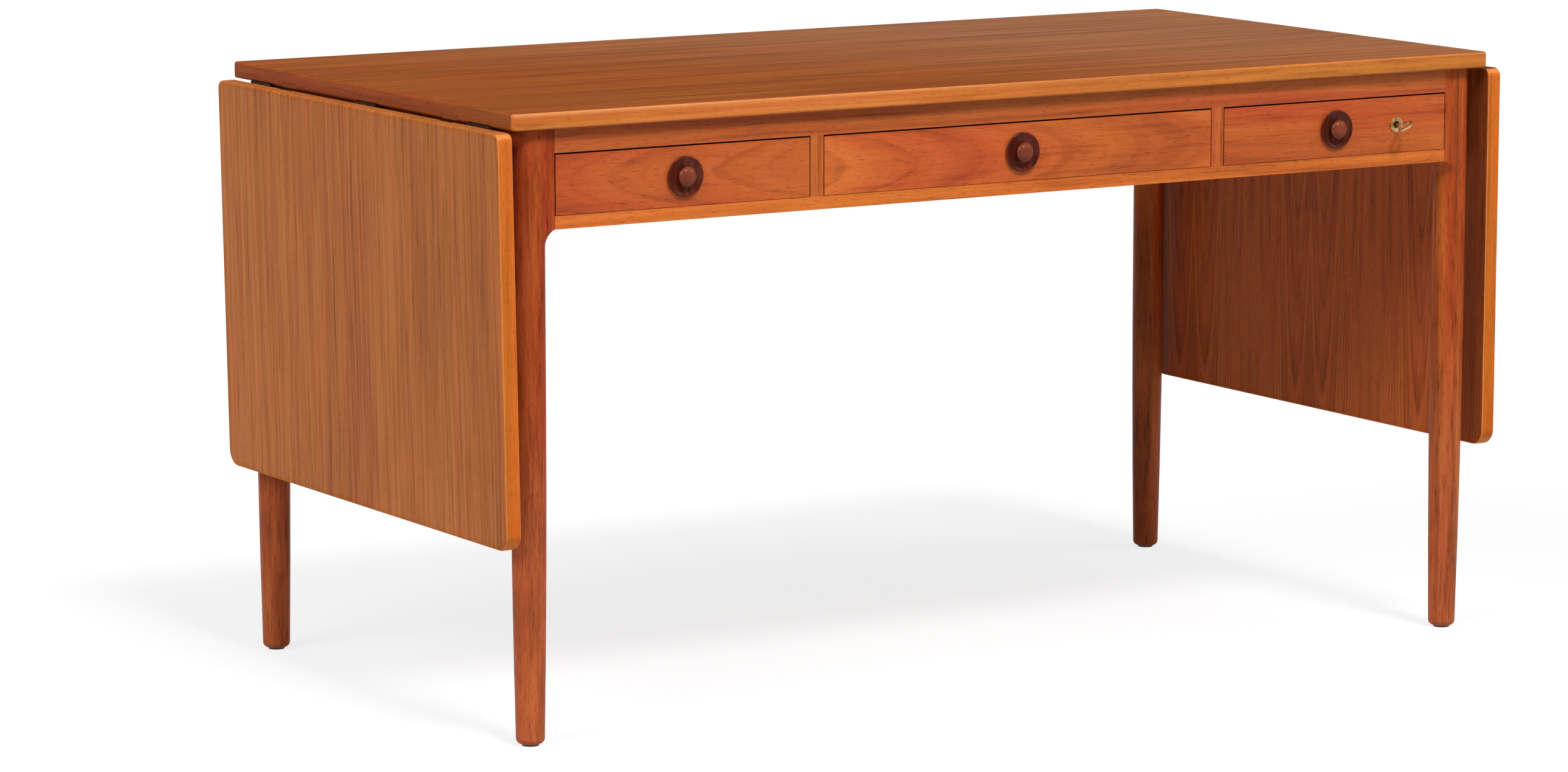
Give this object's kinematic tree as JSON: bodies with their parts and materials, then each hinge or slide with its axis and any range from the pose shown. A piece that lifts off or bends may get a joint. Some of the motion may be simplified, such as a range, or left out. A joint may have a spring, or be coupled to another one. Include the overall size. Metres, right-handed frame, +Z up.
{
  "type": "drop-leaf writing desk",
  "caption": "Teak writing desk on turned tapered legs, with inset drawers in a shallow apron, turned knobs, a locking end drawer and hinged drop leaves at both ends.",
  "frame": {"origin": "on the floor under the middle of the desk top", "axes": "+X along the desk to the sitter's right, +Y from the drawer fronts to the back, +Z up"},
  "size_m": [1.4059, 0.716, 0.72],
  "materials": {
    "teak_top": "oiled teak veneer",
    "teak_leaf": "oiled teak veneer",
    "teak_lipping": "oiled solid teak",
    "teak_frame": "oiled solid teak",
    "teak_leg": "oiled solid teak",
    "teak_drawer": "oiled teak with flame figure",
    "drawer_wood": "waxed oak",
    "inner_wood": "planed beech",
    "rosewood": "polished rosewood",
    "brass": "satin, slightly aged",
    "steel": "brushed",
    "glide": "matte"
  },
  "bodies": {
    "frame": {"top_panel": "teak_top", "top_front_lipping": "teak_lipping", "top_rear_lipping": "teak_lipping", "top_end_lippings": "teak_lipping", "left_end_rail": "teak_frame", "left_partition": "teak_frame", "front_left_leg": "teak_leg", "rear_left_leg": "teak_leg", "right_end_rail": "teak_frame", "right_partition": "teak_frame", "front_right_leg": "teak_leg", "rear_right_leg": "teak_leg", "front_top_rail": "teak_frame", "front_bottom_rail": "teak_frame", "rear_apron": "teak_frame", "drawer_runners": "inner_wood", "drawer_stops": "inner_wood", "drawer_kickers": "inner_wood", "drawer_guides": "inner_wood", "hinge_top_plates": "brass", "hinge_pins": "brass", "hinge_top_screws": "brass", "strike_plate": "brass", "top_fixing_screws": "steel", "loper_guide_screws": "steel", "foot_glides": "glide"},
    "left_leaf": {"left_leaf_panel": "teak_leaf", "left_leaf_lippings": "teak_lipping", "left_leaf_hinge_plates": "brass", "left_leaf_hinge_screws": "brass"},
    "right_leaf": {"right_leaf_panel": "teak_leaf", "right_leaf_lippings": "teak_lipping", "right_leaf_hinge_plates": "brass", "right_leaf_hinge_screws": "brass"},
    "left_drawer": {"left_drawer_front": "teak_drawer", "left_drawer_sides": "drawer_wood", "left_drawer_back": "drawer_wood", "left_drawer_bottom": "drawer_wood", "left_drawer_knob": "rosewood"},
    "centre_drawer": {"centre_drawer_front": "teak_drawer", "centre_drawer_sides": "drawer_wood", "centre_drawer_back": "drawer_wood", "centre_drawer_bottom": "drawer_wood", "centre_drawer_knob": "rosewood"},
    "right_drawer": {"right_drawer_front": "teak_drawer", "right_drawer_sides": "drawer_wood", "right_drawer_back": "drawer_wood", "right_drawer_bottom": "drawer_wood", "right_drawer_knob": "rosewood", "lock_case": "brass", "lock_screws": "brass", "key_escutcheon": "brass"},
    "front_left_loper": {"front_left_loper": "steel"},
    "rear_left_loper": {"rear_left_loper": "steel"},
    "front_right_loper": {"front_right_loper": "steel"},
    "rear_right_loper": {"rear_right_loper": "steel"},
    "lock_plug": {"lock_plug": "brass"},
    "lock_bolt": {"lock_bolt": "brass"},
    "key": {"key": "brass"}
  },
  "joints": [
    {"name": "left_leaf_hinge", "type": "hinge", "parent": "frame", "child": "left_leaf", "pos_m": [-0.6825, 0, 0.6995], "axis": [0, 1, 0], "range_deg": [0, 91]},
    {"name": "right_leaf_hinge", "type": "hinge", "parent": "frame", "child": "right_leaf", "pos_m": [0.6825, 0, 0.6995], "axis": [0, -1, 0], "range_deg": [0, 90]},
    {"name": "left_drawer_slide", "type": "slide", "parent": "frame", "child": "left_drawer", "axis": [0, -1, 0], "range_m": [0, 0.36]},
    {"name": "centre_drawer_slide", "type": "slide", "parent": "frame", "child": "centre_drawer", "axis": [0, -1, 0], "range_m": [0, 0.36]},
    {"name": "right_drawer_slide", "type": "slide", "parent": "frame", "child": "right_drawer", "axis": [0, -1, 0], "range_m": [0, 0.36]},
    {"name": "front_left_loper_slide", "type": "slide", "parent": "frame", "child": "front_left_loper", "axis": [-1, 0, 0], "range_m": [0, 0.12]},
    {"name": "rear_left_loper_slide", "type": "slide", "parent": "frame", "child": "rear_left_loper", "axis": [-1, 0, 0], "range_m": [0, 0.12]},
    {"name": "front_right_loper_slide", "type": "slide", "parent": "frame", "child": "front_right_loper", "axis": [1, 0, 0], "range_m": [0, 0.12]},
    {"name": "rear_right_loper_slide", "type": "slide", "parent": "frame", "child": "rear_right_loper", "axis": [1, 0, 0], "range_m": [0, 0.12]},
    {"name": "lock_plug_turn", "type": "hinge", "parent": "right_drawer", "child": "lock_plug", "pos_m": [0.55, -0.33, 0.6366], "axis": [0, -1, 0], "range_deg": [0, 90]},
    {"name": "lock_bolt_slide", "type": "slide", "parent": "right_drawer", "child": "lock_bolt", "axis": [0, 0, 1], "range_m": [0, 0.00707]},
    {"name": "key_slide", "type": "slide", "parent": "lock_plug", "child": "key", "axis": [0, -1, 0], "range_m": [0, 0.03]}
  ],
  "couplings": [
    {"joint": "lock_plug_turn", "follows": "lock_bolt_slide", "rad_per_m": 222.15}
  ]
}
